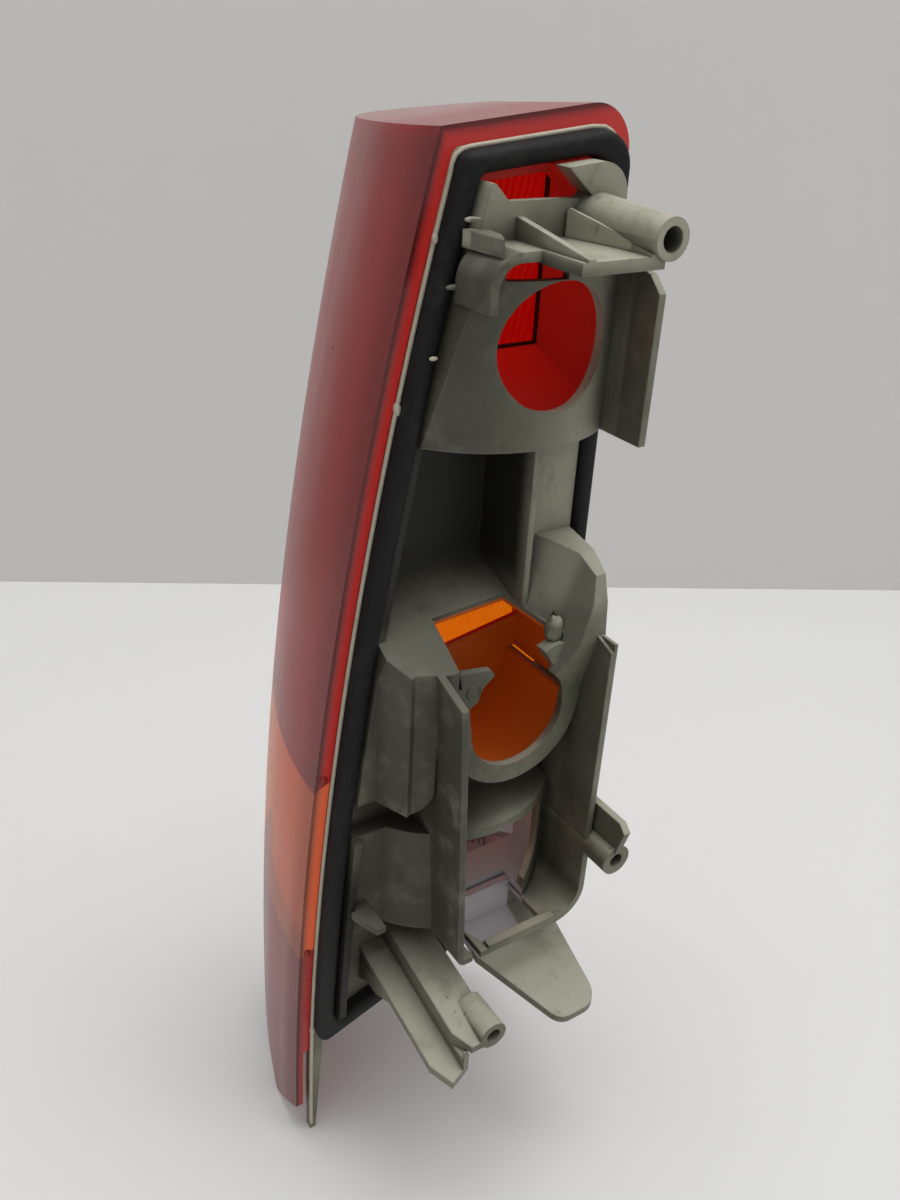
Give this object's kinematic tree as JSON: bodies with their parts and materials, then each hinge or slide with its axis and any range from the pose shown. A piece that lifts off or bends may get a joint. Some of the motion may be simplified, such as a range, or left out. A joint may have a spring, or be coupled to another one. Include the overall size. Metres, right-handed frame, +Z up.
{
  "type": "tail light cluster",
  "caption": "Upright rear lamp cluster for a hatchback: curved lens in red, amber and clear bands, welded to a moulded housing with open bulb holes, fins, screw posts and a rubber gasket.",
  "frame": {"origin": "centre of the mouth of the top screw post, where the lamp is fixed to the car body", "axes": "+Y out of the screw posts, back into the car; +Z up the lamp; +X towards the lens's curved outboard side"},
  "size_m": [0.1003, 0.1189, 0.3302],
  "materials": {
    "housing": "grey-green moulded plastic, dusty and stained",
    "seal": "soft black foam rubber",
    "lens_red": "clear-through red acrylic, lightly scratched",
    "lens_amber": "clear-through amber acrylic, lightly scratched",
    "lens_clear": "colourless acrylic"
  },
  "bodies": {
    "root": {"housing": "housing", "seal": "seal", "lens_upper_red": "lens_red", "lens_amber": "lens_amber", "lens_lower_red": "lens_red", "lens_clear": "lens_clear"}
  },
  "joints": []
}
